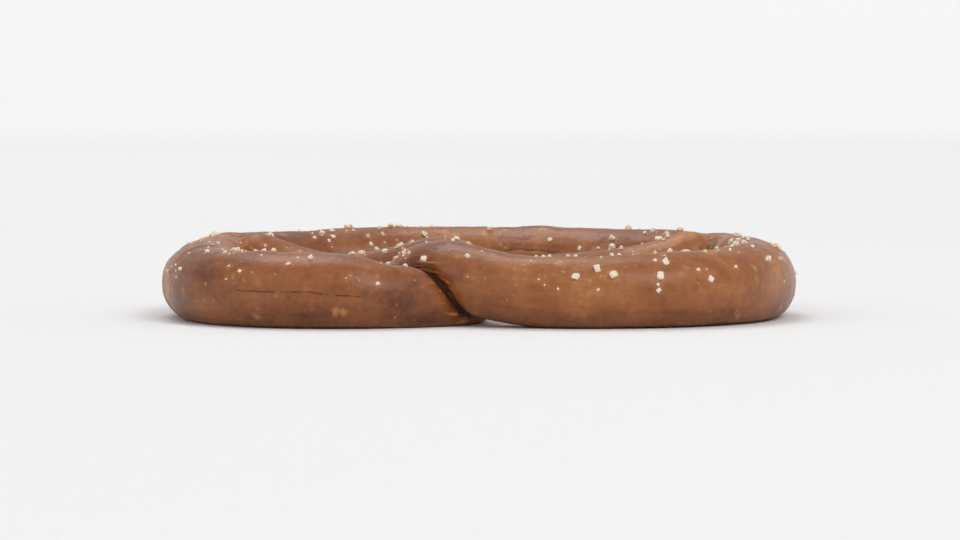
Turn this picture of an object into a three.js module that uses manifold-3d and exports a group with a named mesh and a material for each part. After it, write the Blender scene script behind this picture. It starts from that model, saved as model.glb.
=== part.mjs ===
// A baked pretzel, lying flat: one rope of dough that starts as a tip on one side of the belly,
// makes a lobe, twists twice round its other half, and ends as a tip on the other side.
// Millimetres, +Z up, +Y from the twist to the belly. The origin is under the middle of the outline.
import * as THREE from "three";
import { mergeVertices } from "three/addons/utils/BufferGeometryUtils.js";
import Module from "manifold-3d";

// Driving dimensions.
const LEFT_REACH = 0.88; // the left lobe is a little narrower than the right one, as a hand leaves it
const RIGHT_REACH = 1.12;
const SEAT = 0.82; // height of a resting rope's middle over the tray, as a share of its radius
const RING_SIDES = 20; // corners of the rope's round section
const RING_SPACING = 3.4; // distance between sections along the rope
const TIP_RINGS = 4; // sections that round off each tip
const TRAY_SIZE = 240; // width and length of the slab that flattens the underside
const TRAY_DEPTH = 20; // thickness of that slab

// The rope's middle line on one side, from the middle of the belly to the tip: x is out from the
// twist, y is back from it, and radius is the rope's own. A station with no height rests on the tray.
// At the first crossing the right rope passes over the left one, and at the second it passes under.
const STATIONS = [
  { x: 0, y: 57.2, radius: 7.5 },
  { x: 16, y: 55.4, radius: 7.5 },
  { x: 30, y: 48.8, radius: 7.4 },
  { x: 40.4, y: 37.8, radius: 7.3 },
  { x: 46, y: 24, radius: 7.2 },
  { x: 46.6, y: 9, radius: 7.1 },
  { x: 41.4, y: -4.8, radius: 6.9 },
  { x: 31, y: -12.8, radius: 6.7 },
  { x: 18.5, y: -15, radius: 6.4 },
  { x: 8, y: -12.4, radius: 5.9, left: 4, right: 6.6 },
  { x: 0, y: -7, radius: 5.5, left: 3, right: 8.3 },
  { x: -4.6, y: 1, radius: 5.3, left: 6, right: 6.4 },
  { x: 0, y: 9.4, radius: 5.3, left: 8.4, right: 3.4 },
  { x: 7.8, y: 16.6, radius: 5.3, left: 7, right: 3.8 },
  { x: 17.2, y: 23, radius: 5.4, left: 5, right: 4.5 },
  { x: 27.6, y: 27, radius: 5.3, left: 5.8, right: 5.6 },
  { x: 36.8, y: 28.4, radius: 5, left: 8.6, right: 8.6 },
];
const LOBE_FRONT = 8; // the station where the ring ends and the twist and arm begin

// The whole rope as one line, left tip first, with the radius carried beside it.
const last = STATIONS.length - 1;
const leftSide = STATIONS.map((s) => station(s, -LEFT_REACH, s.left)).reverse();
const rightSide = STATIONS.slice(1).map((s) => station(s, RIGHT_REACH, s.right));
const wholeRope = [...leftSide, ...rightSide];
const middleLine = new THREE.CatmullRomCurve3(
  wholeRope.map((s) => s.point),
  false,
  "catmullrom",
);
const radiusLine = new THREE.CatmullRomCurve3(
  wholeRope.map((s) => new THREE.Vector3(s.radius, 0, 0)),
  false,
  "catmullrom",
);

// One point of the middle line, with the rope's radius there.
function station(s, reach, height = SEAT * s.radius) {
  return { point: new THREE.Vector3(reach * s.x, s.y, height), radius: s.radius };
}

// The rope's middle, direction and radius at a share t of the line, with its level and upright axes.
function sectionAt(t) {
  const centre = middleLine.getPoint(t);
  const forward = middleLine.getTangent(t);
  const level = new THREE.Vector3().crossVectors(forward, THREE.Object3D.DEFAULT_UP).normalize();
  const upright = new THREE.Vector3().crossVectors(level, forward).normalize();
  return { centre, forward, level, upright, radius: radiusLine.getPoint(t).x };
}

// The corners of one round section, moved along the rope by shift and scaled by grow.
function ringCorners(section, shift = 0, grow = 1) {
  const middle = section.centre.clone().addScaledVector(section.forward, shift);
  return Array.from({ length: RING_SIDES }, (_, corner) => {
    const angle = (2 * Math.PI * corner) / RING_SIDES;
    return middle
      .clone()
      .addScaledVector(section.level, grow * section.radius * Math.cos(angle))
      .addScaledVector(section.upright, grow * section.radius * Math.sin(angle));
  });
}

// The sections of a round nose at a tip, from the rope outwards; way is -1 before the line and 1 after it.
function noseRings(section, way) {
  return Array.from({ length: TIP_RINGS - 1 }, (_, i) => {
    const angle = (Math.PI / 2) * ((i + 1) / TIP_RINGS);
    return ringCorners(section, way * section.radius * Math.sin(angle), Math.cos(angle));
  });
}

// A closed solid of the rope between two stations, flat at a cut and rounded at a tip.
function ropeBetween(from, to) {
  const steps = (2 * last) / (to - from);
  const length = middleLine.getLength() / steps;
  const count = Math.ceil(length / RING_SPACING);
  const shares = Array.from({ length: count + 1 }, (_, i) => (from + ((to - from) * i) / count) / (2 * last));
  const sections = shares.map(sectionAt);
  const start = sections[0];
  const end = sections[count];
  const rings = sections.map((s) => ringCorners(s));
  const startPole = start.centre.clone();
  const endPole = end.centre.clone();
  if (from === 0) {
    rings.unshift(...noseRings(start, -1).reverse());
    startPole.addScaledVector(start.forward, -start.radius);
  }
  if (to === 2 * last) {
    rings.push(...noseRings(end, 1));
    endPole.addScaledVector(end.forward, end.radius);
  }
  return closedTube(rings, startPole, endPole);
}

// The closed surface through rings of corners, with a fan of triangles to a pole at each end.
function closedTube(rings, startPole, endPole) {
  const corners = rings.flat();
  const startIndex = corners.push(startPole) - 1;
  const endIndex = corners.push(endPole) - 1;
  const lastRing = (rings.length - 1) * RING_SIDES;
  const faces = [];
  for (let side = 0; side < RING_SIDES; side++) {
    const next = (side + 1) % RING_SIDES;
    faces.push(startIndex, side, next);
    faces.push(endIndex, lastRing + next, lastRing + side);
    for (let row = 0; row < lastRing; row += RING_SIDES) {
      faces.push(row + side, row + RING_SIDES + next, row + next);
      faces.push(row + side, row + RING_SIDES + side, row + RING_SIDES + next);
    }
  }
  return new THREE.BufferGeometry().setFromPoints(corners).setIndex(faces);
}

// A closed three.js geometry as a solid that can be joined and cut.
function solidFrom(geometry) {
  geometry.deleteAttribute("normal");
  geometry.deleteAttribute("uv");
  const merged = mergeVertices(geometry);
  return new wasm.Manifold(
    new wasm.Mesh({
      numProp: 3,
      vertProperties: new Float32Array(merged.attributes.position.array),
      triVerts: new Uint32Array(merged.index.array),
    }),
  );
}

// A solid's surface as a three.js geometry.
function geometryFrom(solid) {
  const mesh = solid.getMesh();
  return new THREE.BufferGeometry()
    .setAttribute("position", new THREE.BufferAttribute(mesh.vertProperties, 3))
    .setIndex(new THREE.BufferAttribute(mesh.triVerts, 1));
}

THREE.Object3D.DEFAULT_UP.set(0, 0, 1);
const wasm = await Module();
wasm.setup();

const ring = solidFrom(ropeBetween(last - LOBE_FRONT, last + LOBE_FRONT));
const leftArm = solidFrom(ropeBetween(0, last - LOBE_FRONT));
const rightArm = solidFrom(ropeBetween(last + LOBE_FRONT, 2 * last));
const trayGeometry = new THREE.BoxGeometry(TRAY_SIZE, TRAY_SIZE, TRAY_DEPTH).translate(0, 0, -TRAY_DEPTH / 2);
const tray = solidFrom(trayGeometry);
const dough = ring.add(leftArm).add(rightArm).subtract(tray);

const crust = new THREE.MeshStandardMaterial({ color: 0x98623f, roughness: 0.55, metalness: 0 });
const pretzel = new THREE.Mesh(geometryFrom(dough), crust);
pretzel.name = "pretzel";
const outline = new THREE.Box3().setFromObject(pretzel);
const middle = outline.getCenter(new THREE.Vector3());
pretzel.position.set(-middle.x, -middle.y, 0);

const part = new THREE.Group();
part.add(pretzel);

export default part;
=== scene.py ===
"""A pretzel: one baked rope of dough with a brown lye crust, and the coarse salt on it.

Lengths are millimetres until they reach a mesh, and metres in Blender. +Z is up, +Y runs from the twist
to the belly, and the middle of the outline is over the origin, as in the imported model.
"""

import itertools
import logging
import math
from collections.abc import Iterable
from dataclasses import dataclass, field
from enum import Enum

import bmesh
import bpy
import numpy as np
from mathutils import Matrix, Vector


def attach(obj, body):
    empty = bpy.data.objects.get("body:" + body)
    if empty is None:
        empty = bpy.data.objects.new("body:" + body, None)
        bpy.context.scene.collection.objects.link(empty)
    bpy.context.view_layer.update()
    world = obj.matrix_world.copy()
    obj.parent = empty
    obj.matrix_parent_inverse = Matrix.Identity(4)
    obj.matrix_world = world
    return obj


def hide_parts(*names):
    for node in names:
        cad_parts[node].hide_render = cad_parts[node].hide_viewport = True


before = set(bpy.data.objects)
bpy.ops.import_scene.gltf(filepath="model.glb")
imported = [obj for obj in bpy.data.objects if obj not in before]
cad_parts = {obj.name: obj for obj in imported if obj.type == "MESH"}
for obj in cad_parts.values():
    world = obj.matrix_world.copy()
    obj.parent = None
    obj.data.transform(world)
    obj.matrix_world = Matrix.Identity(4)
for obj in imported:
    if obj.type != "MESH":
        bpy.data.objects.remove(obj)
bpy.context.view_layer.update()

MM = 0.001

Triple = tuple[float, float, float]
Colour = Triple
Range = tuple[float, float]


# ---------------------------------------------------------------- numbers over whole arrays

# What turns whole numbers into random ones.
CORNER_KEYS = np.array([73856093, 19349663, 83492791], np.uint64)
SEED_KEY = 7919
SEED_SHIFT = 17
STIRS = ((0x9E3779B97F4A7C15, 29), (0xBF58476D1CE4E5B9, 32))
LOW_BITS = 0xFFFF

BLOCK = 3_000_000  # distances worked out at one time


@dataclass(frozen=True)
class Noise:
    """Smooth random heights over space, the same on every run.

    The cell is the distance between neighbouring random numbers, one for each direction or one for all.
    """

    seed: int
    cell: float | Triple
    height: float = 1.0

    def corners(self, cells: np.ndarray) -> np.ndarray:
        """Gives each whole-numbered cell corner a fixed random number.

        The three whole numbers are multiplied by large odd keys and joined with one another and the seed
        by exclusive-or. The result is twice multiplied by a large number and joined with its own high
        bits, and its low bits are scaled to the range.

        Args:
            cells: whole numbers, three for each corner.
        Returns:
            One number between -1 and 1 for each corner.
        """
        keyed = cells.astype(np.int64).astype(np.uint64) * CORNER_KEYS
        mixed = np.bitwise_xor.reduce(keyed, axis=-1) ^ np.uint64(self.seed * SEED_KEY + SEED_SHIFT)
        for factor, shift in STIRS:
            mixed = mixed * np.uint64(factor)
            mixed = mixed ^ (mixed >> np.uint64(shift))
        return (mixed & np.uint64(LOW_BITS)).astype(float) / (LOW_BITS / 2) - 1.0

    def at(self, points: np.ndarray) -> np.ndarray:
        """Blends the corner values of the cell that each point is in.

        The blend is linear in each direction after the share w is eased as 6w^5 - 15w^4 + 10w^3.

        Args:
            points: places, three numbers each.
        Returns:
            One number between -height and height for each point.
        """
        scaled = points / np.asarray(self.cell, float)
        base = np.floor(scaled)
        share = scaled - base
        share = share**3 * (share * (share * 6.0 - 15.0) + 10.0)
        total = np.zeros(points.shape[:-1])
        for offset in itertools.product((0, 1), repeat=3):
            weight = np.where(np.array(offset) == 1, share, 1.0 - share).prod(-1)
            total += weight * self.corners(base + np.array(offset))
        return self.height * total

    def along(self, distance: np.ndarray, lane: float = 0.0) -> np.ndarray:
        """Gives the heights at distances along a straight line that lies a lane's distance aside."""
        line = np.stack([distance, np.full_like(distance, lane), np.zeros_like(distance)], -1)
        return self.at(line)


def eased(values: np.ndarray, low: float, high: float) -> np.ndarray:
    """Rises from 0 to 1 between low and high as 3w^2 - 2w^3, or falls where low is above high."""
    share = np.clip((values - low) / (high - low), 0.0, 1.0)
    return share * share * (3.0 - 2.0 * share)


def between(limits: Range, share: np.ndarray) -> np.ndarray:
    """Gives the values that lie shares of the way from the first limit to the second."""
    low, high = limits
    return low + (high - low) * share


def hill(values: np.ndarray, width: float) -> np.ndarray:
    """Falls from 1 at a value of 0 to both sides as e^(-(v/w)^2)."""
    return np.exp(-((values / width) ** 2))


def nearest_ball(
    points: np.ndarray,
    centres: np.ndarray,
    radii: np.ndarray,
    barred: tuple[np.ndarray, np.ndarray, float] | None = None,
) -> tuple[np.ndarray, np.ndarray]:
    """Finds the ball whose surface is nearest to each point: least distance to its centre less its radius.

    Args:
        points: places, three numbers each.
        centres: middles of the balls.
        radii: their radii.
        barred: a number for each point, a number for each ball, and how far apart the two have to be
            for the ball to count.
    Returns:
        The gap to that ball's surface, and the ball's place in the list.
    """
    gap = np.empty(len(points))
    which = np.empty(len(points), int)
    blocks = max(1, len(points) * len(centres) // BLOCK)
    squares = (centres**2).sum(-1)
    for rows in np.array_split(np.arange(len(points)), blocks):
        block = points[rows]
        apart = (block**2).sum(-1)[:, None] + squares[None, :] - 2.0 * block @ centres.T
        apart = np.sqrt(np.maximum(apart, 0.0)) - radii[None, :]
        if barred is not None:
            own, others, least = barred
            apart[np.abs(own[rows][:, None] - others[None, :]) < least] = np.inf
        which[rows] = apart.argmin(1)
        gap[rows] = apart[np.arange(len(rows)), which[rows]]
    return gap, which


# ---------------------------------------------------------------- meshes


def make_mesh(name: str, points: np.ndarray, faces: list[list[int]]) -> bpy.types.Mesh:
    """Makes a mesh.

    Args:
        name: its name.
        points: its points in millimetres, three numbers each.
        faces: the point numbers of each face.
    Returns:
        The mesh.
    """
    mesh = bpy.data.meshes.new(name)
    mesh.from_pydata(points * MM, [], faces)
    mesh.update()
    return mesh


def place(name: str, mesh: bpy.types.Mesh) -> bpy.types.Object:
    """Puts a mesh into the scene as an object at the origin.

    Args:
        name: the object's name.
        mesh: the mesh.
    Returns:
        The object.
    """
    piece = bpy.data.objects.new(name, mesh)
    bpy.context.scene.collection.objects.link(piece)
    return piece


def points_of(mesh: bpy.types.Mesh) -> np.ndarray:
    """Reads a mesh's points.

    Args:
        mesh: the mesh.
    Returns:
        Three numbers for each point, in millimetres.
    """
    flat = np.empty(len(mesh.vertices) * 3)
    mesh.vertices.foreach_get("co", flat)
    return flat.reshape(-1, 3) / MM


def normals_of(mesh: bpy.types.Mesh) -> np.ndarray:
    """Reads the outward directions at a mesh's points.

    Args:
        mesh: the mesh.
    Returns:
        Three numbers for each point.
    """
    flat = np.empty(len(mesh.vertices) * 3)
    mesh.vertex_normals.foreach_get("vector", flat)
    return flat.reshape(-1, 3)


def keep_values(mesh: bpy.types.Mesh, name: str, values: np.ndarray) -> None:
    """Stores one number or one vector for each point of a mesh, for its material to read.

    Args:
        mesh: the mesh.
        name: what the material calls the values.
        values: one row for each point.
    """
    vector = values.ndim == 2
    kept = mesh.attributes.new(name, "FLOAT_VECTOR" if vector else "FLOAT", "POINT")
    kept.data.foreach_set("vector" if vector else "value", values.astype(np.float32).ravel())


def tube_walls(rings: int, sides: int) -> list[list[int]]:
    """Lists the four-sided faces between closed rings of points, each ring joined to the next one.

    Point p of ring r has the number r * sides + p.

    Args:
        rings: how many rings there are.
        sides: how many points each ring has.
    Returns:
        The point numbers of each face.
    """
    near = np.arange(rings - 1)[:, None] * sides
    far = near + sides
    side = np.arange(sides)
    beside = (side + 1) % sides
    return np.stack([far + side, far + beside, near + beside, near + side], -1).reshape(-1, 4).tolist()


def fan(first: np.ndarray, second: np.ndarray, hub: int) -> list[list[int]]:
    """Lists the triangles from pairs of points to one hub point."""
    return np.stack([first, second, np.full(len(first), hub)], -1).tolist()


def report(piece: bpy.types.Object) -> None:
    """Logs a piece's count of points and faces, and of edges that don't have exactly two faces.

    Args:
        piece: the piece.
    """
    mesh = piece.data
    edges = np.empty(len(mesh.loops), int)
    mesh.loops.foreach_get("edge_index", edges)
    loose = int((np.bincount(edges, minlength=len(mesh.edges)) != 2).sum())
    counts = (len(mesh.vertices), len(mesh.polygons), loose)
    logging.info("%s: %d points, %d faces, %d open edges", piece.name, *counts)


# ---------------------------------------------------------------- shader arithmetic

NOISE_MIDDLE = 0.5
NOISE_FINER = 0.55  # how much each finer layer of a noise counts beside the one before
SPOT_CORE = 0.35  # share of a spot's radius that is fully coloured
DRAW_EDGE = 0.02  # how softly a spot's random number decides

# The Mix node's sockets for colours, whose names it also gives to values and vectors.
MIX_FIRST = 6
MIX_SECOND = 7
MIX_RESULT = 2


@dataclass(frozen=True)
class Mottle:
    """A noise over a surface, and how much it counts in a finish's tone, gloss and height.

    The cell is its size in millimetres, layers is how many finer noises are added, and twist bends it.
    """

    cell: float | Triple
    layers: float = 2.0
    twist: float = 0.0
    tone: float = 0.0
    gloss: float = 0.0
    height: float = 0.0


@dataclass(frozen=True)
class Spots:
    """Round spots scattered over a surface, and how high they stand.

    Apart is the distance between neighbouring places for a spot, and share is how many of them have one.
    """

    apart: float
    radius: float
    share: float
    height: float = 0.0


@dataclass(frozen=True)
class StainAndShade:
    """A colour laid over a surface, a stain or a painted shade, and how much of it covers where it is
    whole.
    """

    colour: Colour
    strength: float


class Flow:
    """A value, vector or colour at one socket. Arithmetic on values adds Math nodes."""

    def __init__(self, net: "Net", socket: bpy.types.NodeSocket) -> None:
        """Wraps a socket of a node tree."""
        self.net = net
        self.socket = socket

    def _math(self, operation: str, first: "Flow | float", second: "Flow | float" = 0.0) -> "Flow":
        """Adds a Math node for an operation on one or two values."""
        return self.net.node("ShaderNodeMath", {"operation": operation}, {0: first, 1: second})

    def __add__(self, other: "Flow | float") -> "Flow":
        """Adds."""
        return self._math("ADD", self, other)

    def __radd__(self, other: float) -> "Flow":
        """Adds to a number."""
        return self._math("ADD", other, self)

    def __sub__(self, other: "Flow | float") -> "Flow":
        """Subtracts."""
        return self._math("SUBTRACT", self, other)

    def __rsub__(self, other: float) -> "Flow":
        """Subtracts from a number."""
        return self._math("SUBTRACT", other, self)

    def __mul__(self, other: "Flow | float") -> "Flow":
        """Multiplies."""
        return self._math("MULTIPLY", self, other)

    def __rmul__(self, other: float) -> "Flow":
        """Multiplies a number."""
        return self._math("MULTIPLY", other, self)

    def __abs__(self) -> "Flow":
        """Drops the sign."""
        return self._math("ABSOLUTE", self)

    def eased(self, low: float, high: float) -> "Flow":
        """Rises smoothly from 0 to 1 between two values, or falls where the first is above the second.

        Args:
            low: the value at and beyond which the result is 0.
            high: the value at and beyond which it is 1.
        Returns:
            The eased value.
        """
        return self.net.node(
            "ShaderNodeMapRange",
            {"interpolation_type": "SMOOTHSTEP"},
            {"Value": self, "From Min": low, "From Max": high},
        )


class Net:
    """The node tree of one material."""

    def __init__(self, name: str) -> None:
        """Makes a material with an empty node tree and its output.

        Args:
            name: the material's name.
        """
        self.material = bpy.data.materials.new(name)
        self.material.use_nodes = True
        self.tree = self.material.node_tree
        self.tree.nodes.clear()
        self.sink = self.tree.nodes.new("ShaderNodeOutputMaterial")

    def node(
        self,
        kind: str,
        settings: dict[str, object] | None = None,
        sockets: dict[str | int, "Flow | float | tuple"] | None = None,
        output: str | int = 0,
    ) -> Flow:
        """Adds a node.

        Args:
            kind: Blender's name for the node's type.
            settings: its options, with a ramp's stops under "stops".
            sockets: values or links of its inputs, by name or number.
            output: the output that is wanted, by name or number.
        Returns:
            That output.
        """
        node = self.tree.nodes.new(kind)
        for option, value in (settings or {}).items():
            if option == "stops":
                self._set_stops(node.color_ramp, value)
            else:
                setattr(node, option, value)
        for socket, value in (sockets or {}).items():
            if isinstance(value, Flow):
                self.tree.links.new(value.socket, node.inputs[socket])
            else:
                node.inputs[socket].default_value = value
        return Flow(self, node.outputs[output])

    @staticmethod
    def _set_stops(ramp: bpy.types.ColorRamp, stops: tuple[tuple[float, Colour], ...]) -> None:
        """Gives a colour ramp its stops.

        Args:
            ramp: the ramp, with the stops that a new one has.
            stops: the place and colour of each stop, in order.
        """
        for position, _ in stops[len(ramp.elements) :]:
            ramp.elements.new(position)
        for element, (position, colour) in zip(ramp.elements, stops):
            element.position = position
            element.color = (*colour, 1.0)

    def millimetres(self) -> Flow:
        """Gives the place on the piece in millimetres."""
        spot = self.node("ShaderNodeTexCoord", output="Object")
        return self.node("ShaderNodeVectorMath", {"operation": "SCALE"}, {0: spot, "Scale": 1.0 / MM})

    def kept(self, name: str, output: str = "Fac") -> Flow:
        """Reads values that the mesh keeps under a name."""
        return self.node("ShaderNodeAttribute", {"attribute_name": name}, output=output)

    def noise(self, spot: Flow, look: Mottle) -> Flow:
        """Gives a smooth noise, with the place divided by the cell's size or its three sizes.

        Args:
            spot: the place.
            look: the noise's cell, layers and twist.
        Returns:
            A value about the noise's middle value.
        """
        scale = 1.0
        if isinstance(look.cell, tuple):
            shares = tuple(1.0 / size for size in look.cell)
            spot = self.node("ShaderNodeVectorMath", {"operation": "MULTIPLY"}, {0: spot, 1: shares})
        else:
            scale = 1.0 / look.cell
        sockets = {"Vector": spot, "Scale": scale, "Detail": look.layers}
        sockets |= {"Roughness": NOISE_FINER, "Distortion": look.twist}
        return self.node("ShaderNodeTexNoise", {"noise_dimensions": "3D"}, sockets)

    def spots(self, spot: Flow, look: Spots) -> Flow:
        """Gives round spots, 1 in the middle and 0 outside.

        Each cell of a scatter has one point, and the cell's own random colour decides whether it shows.

        Args:
            spot: the place, in millimetres.
            look: how the spots are scattered.
        Returns:
            How far inside a spot the place is.
        """
        sockets = {"Vector": spot, "Scale": 1.0 / look.apart}
        distance = self.node("ShaderNodeTexVoronoi", {}, sockets, output="Distance")
        chance = self.node("ShaderNodeTexVoronoi", {}, sockets, output="Color")
        draw = self.node("ShaderNodeSeparateColor", {}, {"Color": chance}, output="Red")
        edge = look.radius / look.apart
        least = 1.0 - look.share
        return distance.eased(edge, SPOT_CORE * edge) * draw.eased(least - DRAW_EDGE, least + DRAW_EDGE)

    @staticmethod
    def weighed(noises: Iterable[tuple[Flow, float]]) -> Flow:
        """Adds noises, each less its middle value and times its weight; a weight of 0 leaves one out."""
        return sum((noise - NOISE_MIDDLE) * weight for noise, weight in noises if weight)

    def blend(self, factor: Flow | float, first: Flow | tuple, second: Flow | tuple) -> Flow:
        """Mixes two colours, all first at 0 and all second at 1."""
        sockets = {0: factor, MIX_FIRST: self._four(first), MIX_SECOND: self._four(second)}
        return self.node("ShaderNodeMix", {"data_type": "RGBA"}, sockets, output=MIX_RESULT)

    def stained(self, base: Flow, stains_and_shade: Iterable[tuple[Flow, StainAndShade]]) -> Flow:
        """Lays marks and painted shade over a colour, one after another.

        Args:
            base: the colour below them.
            stains_and_shade: each stain, after a value from 0 to 1 that says where it shows.
        Returns:
            The stained colour.
        """
        for where, stain in stains_and_shade:
            base = self.blend(where * stain.strength, base, stain.colour)
        return base

    @staticmethod
    def _four(colour: Flow | tuple) -> Flow | tuple:
        """Gives a plain colour its fourth number."""
        return colour if isinstance(colour, Flow) else (*colour, 1.0)

    def raised(self, height: Flow) -> Flow:
        """Turns a height in millimetres into the direction of the surface."""
        return self.node("ShaderNodeBump", {}, {"Height": height, "Distance": MM, "Strength": 1.0})

    def finish(self, sockets: dict[str, "Flow | float | tuple"]) -> bpy.types.Material:
        """Adds the surface's shader.

        Args:
            sockets: the shader's values and links, by name.
        Returns:
            The finished material.
        """
        shader = self.node("ShaderNodeBsdfPrincipled", {}, sockets)
        self.tree.links.new(shader.socket, self.sink.inputs["Surface"])
        return self.material


# ---------------------------------------------------------------- finishes


@dataclass(frozen=True)
class LyeCrust:
    """The crust's finish: satin chestnut brown, mottled, flecked with golden blisters, with painted shade
    in the creases, in the splits and towards the tray.

    Tones are the places of the five browns, from dark to light. A range says where a value shows: not at
    all at its first number, and fully at its second.
    """

    darkest: Colour = (0.115, 0.032, 0.010)
    deep: Colour = (0.200, 0.061, 0.018)
    chestnut: Colour = (0.285, 0.091, 0.026)
    amber: Colour = (0.355, 0.130, 0.040)
    golden: Colour = (0.500, 0.222, 0.074)
    pale: Colour = (0.640, 0.360, 0.165)
    # The colour of the painted shade in the creases between strands and in the splits.
    painted_shade: Colour = (0.060, 0.018, 0.008)
    underside: Colour = (0.200, 0.076, 0.030)
    tones: tuple[float, ...] = (0.10, 0.30, 0.52, 0.74, 0.95)
    middle_tone: float = 0.52

    broad: Mottle = Mottle(17.0, 1.0, tone=0.90)
    patch: Mottle = Mottle(5.5, 3.0, 0.4, tone=0.75, gloss=0.22)
    grain: Mottle = Mottle(1.1, 3.0, tone=0.40, gloss=0.12, height=0.10)
    fine: Mottle = Mottle(0.45, height=0.028)
    streak: Mottle = Mottle((9.0, 1.1, 1.1), tone=0.25, height=0.07)
    wrinkle: Mottle = Mottle((1.3, 3.2, 3.2), 2.0, 0.5, height=0.022)

    # Darker towards the tray: painted shade, and partly the crust's own darker foot.
    foot_shade_range: Range = (6.5, 0.6)
    foot_shade_tone: float = 0.20
    sunny: Mottle = Mottle(9.0, 2.0, 0.6)
    sunny_range: Range = (0.60, 0.76)
    sunny_patch: Range = (0.45, 0.70)
    sunny_stain: StainAndShade = StainAndShade(golden, 0.55)
    blister_ragged: float = 1.1
    blister_range: Range = (0.25, 1.0)
    blister_stain: StainAndShade = StainAndShade(golden, 0.50)
    dent_range: Range = (-0.2, -0.8)
    dent_stain: StainAndShade = StainAndShade(pale, 0.50)
    marks: Spots = Spots(4.3, 1.15, 0.42)
    mark_edge: Range = (0.34, 0.56)
    mark_stain: StainAndShade = StainAndShade(golden, 0.75)
    flecks: Spots = Spots(1.5, 0.26, 0.22, height=0.04)
    fleck_stain: StainAndShade = StainAndShade(pale, 0.50)
    pimples: Spots = Spots(1.15, 0.36, 0.45, height=0.035)

    tear: Mottle = Mottle((5.5, 0.5, 0.5), 3.0, height=0.25)
    torn_gap: Range = (3.6, 0.9)
    torn_range: Range = (0.52, 0.61)
    torn_stain: StainAndShade = StainAndShade(golden, 0.80)
    core_range: Range = (0.60, 0.70)
    core_stain: StainAndShade = StainAndShade(pale, 0.65)
    # Painted shade in the creases where strands meet, strongest where the gap is least.
    crease_shade_gap: Range = (1.0, 0.35)
    crease_shade: StainAndShade = StainAndShade(painted_shade, 0.80)

    ragged: Mottle = Mottle(0.9)
    ragged_side: float = 0.26
    ragged_width: float = 0.13
    crack_edge: Range = (-0.08, 0.05)
    broken: Mottle = Mottle(1.6)
    broken_range: Range = (0.34, 0.56)
    # Painted shade in the splits' lines.
    crack_shade: StainAndShade = StainAndShade(painted_shade, 0.60)
    crack_depth: float = 0.15

    salted_stain: StainAndShade = StainAndShade(golden, 0.42)
    under_stain: StainAndShade = StainAndShade(underside, 0.60)
    dust: Mottle = Mottle(0.8, 4.0, height=0.03)
    dust_range: Range = (0.30, 0.75)
    dust_stain: StainAndShade = StainAndShade(pale, 0.20)

    sheen_roughness: float = 0.39
    matt_roughness: float = 0.68
    specular: float = 0.34
    glaze: float = 0.08
    glaze_roughness: float = 0.24

    def crack(self, net: Net, spot: Flow) -> Flow:
        """Gives the ragged line of the splits, broken here and there, which gets painted shade and a small
        dent.

        It shows where the distance to a split's line is less than the split's half-width, both with a
        noise added.

        Args:
            net: the material's nodes.
            spot: the place, in millimetres.
        Returns:
            1 in the line and 0 away from it.
        """
        ragged = net.noise(spot, self.ragged) - NOISE_MIDDLE
        apart = abs(net.kept("split_side") + ragged * self.ragged_side)
        inside = net.kept("split_width") + ragged * self.ragged_width - apart
        return inside.eased(*self.crack_edge) * net.noise(spot, self.broken).eased(*self.broken_range)

    def material(self) -> bpy.types.Material:
        """Makes the material.

        Returns:
            A material that reads the mesh's values "rope", "gap", "under", "salted", "dome",
            "split_side" and "split_width".
        """
        net = Net("lye_crust")
        spot = net.millimetres()
        rope = net.kept("rope", "Vector")
        gap = net.kept("gap")
        under = net.kept("under")
        dome = net.kept("dome")
        patch = net.noise(spot, self.patch)
        grain = net.noise(spot, self.grain)
        tear = net.noise(rope, self.tear)
        noises = (
            (net.noise(spot, self.broad), self.broad),
            (patch, self.patch),
            (grain, self.grain),
            (net.noise(spot, self.fine), self.fine),
            (net.noise(rope, self.streak), self.streak),
            (net.noise(rope, self.wrinkle), self.wrinkle),
        )

        # The tone falls towards the tray: painted shade, and partly the crust's own darker foot.
        foot_shade = net.node("ShaderNodeSeparateXYZ", {}, {0: spot}, output="Z").eased(*self.foot_shade_range)
        tone = net.weighed((noise, look.tone) for noise, look in noises)
        tone = tone - foot_shade * self.foot_shade_tone + self.middle_tone
        stops = tuple(zip(self.tones, (self.darkest, self.deep, self.chestnut, self.amber, self.golden)))
        base = net.node("ShaderNodeValToRGB", {"stops": stops}, {"Fac": tone}, output="Color")

        sunny = net.noise(spot, self.sunny).eased(*self.sunny_range) * patch.eased(*self.sunny_patch)
        blister = dome + (grain - NOISE_MIDDLE) * self.blister_ragged
        marks = net.spots(spot, self.marks) * grain.eased(*self.mark_edge)
        flecks = net.spots(spot, self.flecks)
        torn = gap.eased(*self.torn_gap) * tear.eased(*self.torn_range)
        crack = self.crack(net, spot)
        dusty = under * net.noise(spot, self.dust).eased(*self.dust_range)
        # Real marks of the crust, and painted shade in its creases and splits.
        stains_and_shade = (
            (sunny, self.sunny_stain),
            (blister.eased(*self.blister_range), self.blister_stain),
            (dome.eased(*self.dent_range), self.dent_stain),
            (marks, self.mark_stain),
            (flecks, self.fleck_stain),
            (torn, self.torn_stain),
            (torn * tear.eased(*self.core_range), self.core_stain),
            # Painted shade in the creases between strands.
            (gap.eased(*self.crease_shade_gap), self.crease_shade),
            # Painted shade in the splits' lines.
            (crack, self.crack_shade),
            (net.kept("salted"), self.salted_stain),
            (under, self.under_stain),
            (dusty, self.dust_stain),
        )

        gloss = net.weighed((noise, look.gloss) for noise, look in noises) + self.sheen_roughness
        height = net.weighed((noise, look.height) for noise, look in noises)
        height = height + flecks * self.flecks.height + (tear - NOISE_MIDDLE) * torn * self.tear.height
        height = height + net.spots(spot, self.pimples) * self.pimples.height
        height = height + dusty * self.dust.height - crack * self.crack_depth
        return net.finish(
            {
                "Base Color": net.stained(base, stains_and_shade),
                "Roughness": gloss * (1.0 - under) + under * self.matt_roughness,
                "Normal": net.raised(height),
                "Specular IOR Level": self.specular,
                "Coat Weight": self.glaze,
                "Coat Roughness": self.glaze_roughness,
            }
        )


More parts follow.
